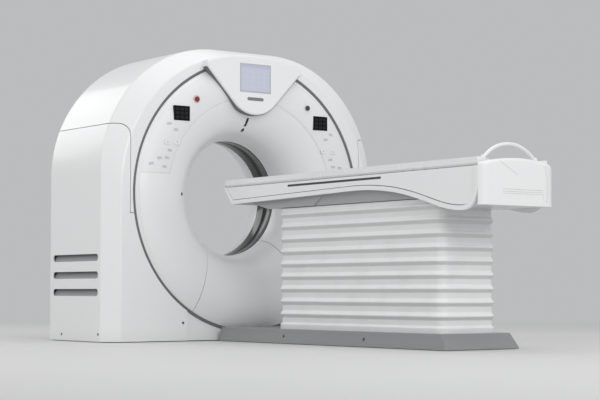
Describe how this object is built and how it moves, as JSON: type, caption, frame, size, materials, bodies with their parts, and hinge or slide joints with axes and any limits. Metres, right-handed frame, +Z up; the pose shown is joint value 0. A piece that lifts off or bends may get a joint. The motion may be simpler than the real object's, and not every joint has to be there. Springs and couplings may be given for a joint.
{
  "type": "computed tomography scanner",
  "caption": "Computed tomography scanner with a ring-shaped gantry, an internal rotating ring and a lifting patient couch with a sliding cradle.",
  "frame": {"origin": "on the floor below the bore axis, in the plane of the front cover's round seam", "axes": "+X to the right of someone facing the gantry's front, +Y along the bore into the gantry, +Z up"},
  "size_m": [2.176, 3.423, 1.93],
  "materials": {
    "white_cover": "gloss",
    "overlay": "gloss",
    "grey_cover": "matt",
    "seal": "matt",
    "window": "gloss",
    "screen": "gloss",
    "laser_window": "gloss",
    "stop_red": "gloss",
    "button_black": "gloss",
    "frame_paint": "satin",
    "bearing_steel": "satin",
    "unit_paint": "satin",
    "dark_unit": "satin",
    "light_alloy": "satin",
    "board": "matt",
    "insulator": "matt",
    "fan_plastic": "matt",
    "bellows_skin": "satin",
    "cradle_shell": "gloss",
    "handle": "gloss"
  },
  "bodies": {
    "scanner_frame": {"gantry_base": "frame_paint", "main_frame": "frame_paint", "bearing_outer_race": "bearing_steel", "top_shroud": "white_cover", "left_side_cover": "white_cover", "right_side_cover": "white_cover", "plinth_cover": "grey_cover", "rear_cover": "white_cover", "front_cover": "white_cover", "lower_front_cover": "white_cover", "front_seal_ring": "seal", "scan_window_ring": "window", "console_housing": "white_cover", "console_screen": "screen", "left_control_panel": "overlay", "right_control_panel": "overlay", "left_position_display": "window", "right_position_display": "window", "laser_windows": "laser_window", "cover_screws": "bearing_steel", "drive_motor": "unit_paint", "drive_belt": "seal", "brush_block": "insulator", "fan_housing": "frame_paint", "couch_base": "frame_paint", "base_skirt": "grey_cover", "lift_cylinder": "unit_paint", "hydraulic_unit": "unit_paint"},
    "rotating_ring": {"rotor_drum": "frame_paint", "bearing_inner_race": "bearing_steel", "slip_ring": "insulator", "xray_tube": "dark_unit", "collimator": "light_alloy", "detector_arc": "light_alloy", "data_modules": "board", "hv_generator": "unit_paint", "tube_cooler": "light_alloy", "balance_weight": "dark_unit"},
    "motor_pulley": {"drive_pulley": "light_alloy"},
    "fan_rotor": {"cooling_fan": "fan_plastic"},
    "stop_button": {"emergency_stop_button": "stop_red"},
    "call_button": {"intercom_button": "button_black"},
    "key_couch_down": {"couch_down_key": "overlay"},
    "key_couch_up": {"couch_up_key": "overlay"},
    "key_cradle_in": {"cradle_in_key": "overlay"},
    "key_cradle_out": {"cradle_out_key": "overlay"},
    "lift_stage": {"lift_mid_stage": "bearing_steel"},
    "outer_arms": {"outer_scissor_frame": "frame_paint"},
    "inner_arms": {"inner_scissor_frame": "frame_paint"},
    "couch_top": {"lift_ram": "bearing_steel", "lift_platform": "frame_paint", "bellows": "bellows_skin", "couch_beam": "light_alloy", "left_side_panel": "white_cover", "right_side_panel": "white_cover", "under_cover": "white_cover", "end_cover": "white_cover", "cradle_drive": "unit_paint"},
    "patient_cradle": {"cradle": "cradle_shell", "hoop_handle": "handle"}
  },
  "joints": [
    {"name": "rotor_spin", "type": "hinge", "parent": "scanner_frame", "child": "rotating_ring", "pos_m": [0, 0.5, 0.954], "axis": [0, 1, 0], "continuous": true},
    {"name": "pulley_spin", "type": "hinge", "parent": "scanner_frame", "child": "motor_pulley", "pos_m": [0.8, 0.5, 0.25], "axis": [0, 1, 0], "continuous": true},
    {"name": "fan_spin", "type": "hinge", "parent": "scanner_frame", "child": "fan_rotor", "pos_m": [-0.9, 0.32, 0.4], "axis": [1, 0, 0], "continuous": true},
    {"name": "stop_press", "type": "slide", "parent": "scanner_frame", "child": "stop_button", "axis": [0, 1, 0], "range_m": [0, 0.004], "stiffness_N_per_m": 900},
    {"name": "call_press", "type": "slide", "parent": "scanner_frame", "child": "call_button", "axis": [0, 1, 0], "range_m": [0, 0.004], "stiffness_N_per_m": 900},
    {"name": "couch_down_press", "type": "slide", "parent": "scanner_frame", "child": "key_couch_down", "axis": [0, 1, 0], "range_m": [0, 0.002], "stiffness_N_per_m": 900},
    {"name": "couch_up_press", "type": "slide", "parent": "scanner_frame", "child": "key_couch_up", "axis": [0, 1, 0], "range_m": [0, 0.002], "stiffness_N_per_m": 900},
    {"name": "cradle_in_press", "type": "slide", "parent": "scanner_frame", "child": "key_cradle_in", "axis": [0, 1, 0], "range_m": [0, 0.002], "stiffness_N_per_m": 900},
    {"name": "cradle_out_press", "type": "slide", "parent": "scanner_frame", "child": "key_cradle_out", "axis": [0, 1, 0], "range_m": [0, 0.002], "stiffness_N_per_m": 900},
    {"name": "couch_lift", "type": "slide", "parent": "scanner_frame", "child": "couch_top", "axis": [0, 0, 1], "range_m": [-0.45, 0], "deforming": ["bellows"]},
    {"name": "stage_lift", "type": "slide", "parent": "scanner_frame", "child": "lift_stage", "axis": [0, 0, 1], "range_m": [-0.2251, 0.0001]},
    {"name": "outer_arm_turn", "type": "hinge", "parent": "scanner_frame", "child": "outer_arms", "pos_m": [0, -2, 0.06], "axis": [1, 0, 0], "range_deg": [-22.79, 0.05]},
    {"name": "inner_arm_turn", "type": "hinge", "parent": "outer_arms", "child": "inner_arms", "pos_m": [0, -1.49087, 0.4225], "axis": [1, 0, 0], "range_deg": [-0.05, 45.53]},
    {"name": "cradle_slide", "type": "slide", "parent": "couch_top", "child": "patient_cradle", "axis": [0, 1, 0], "range_m": [0, 1.6]}
  ],
  "couplings": [
    {"joint": "pulley_spin", "follows": "rotor_spin", "ratio": 13.521},
    {"joint": "stage_lift", "follows": "couch_lift", "ratio": 0.5},
    {"joint": "outer_arm_turn", "follows": "couch_lift", "rad_per_m": 0.88203},
    {"joint": "inner_arm_turn", "follows": "couch_lift", "rad_per_m": -1.7641}
  ]
}
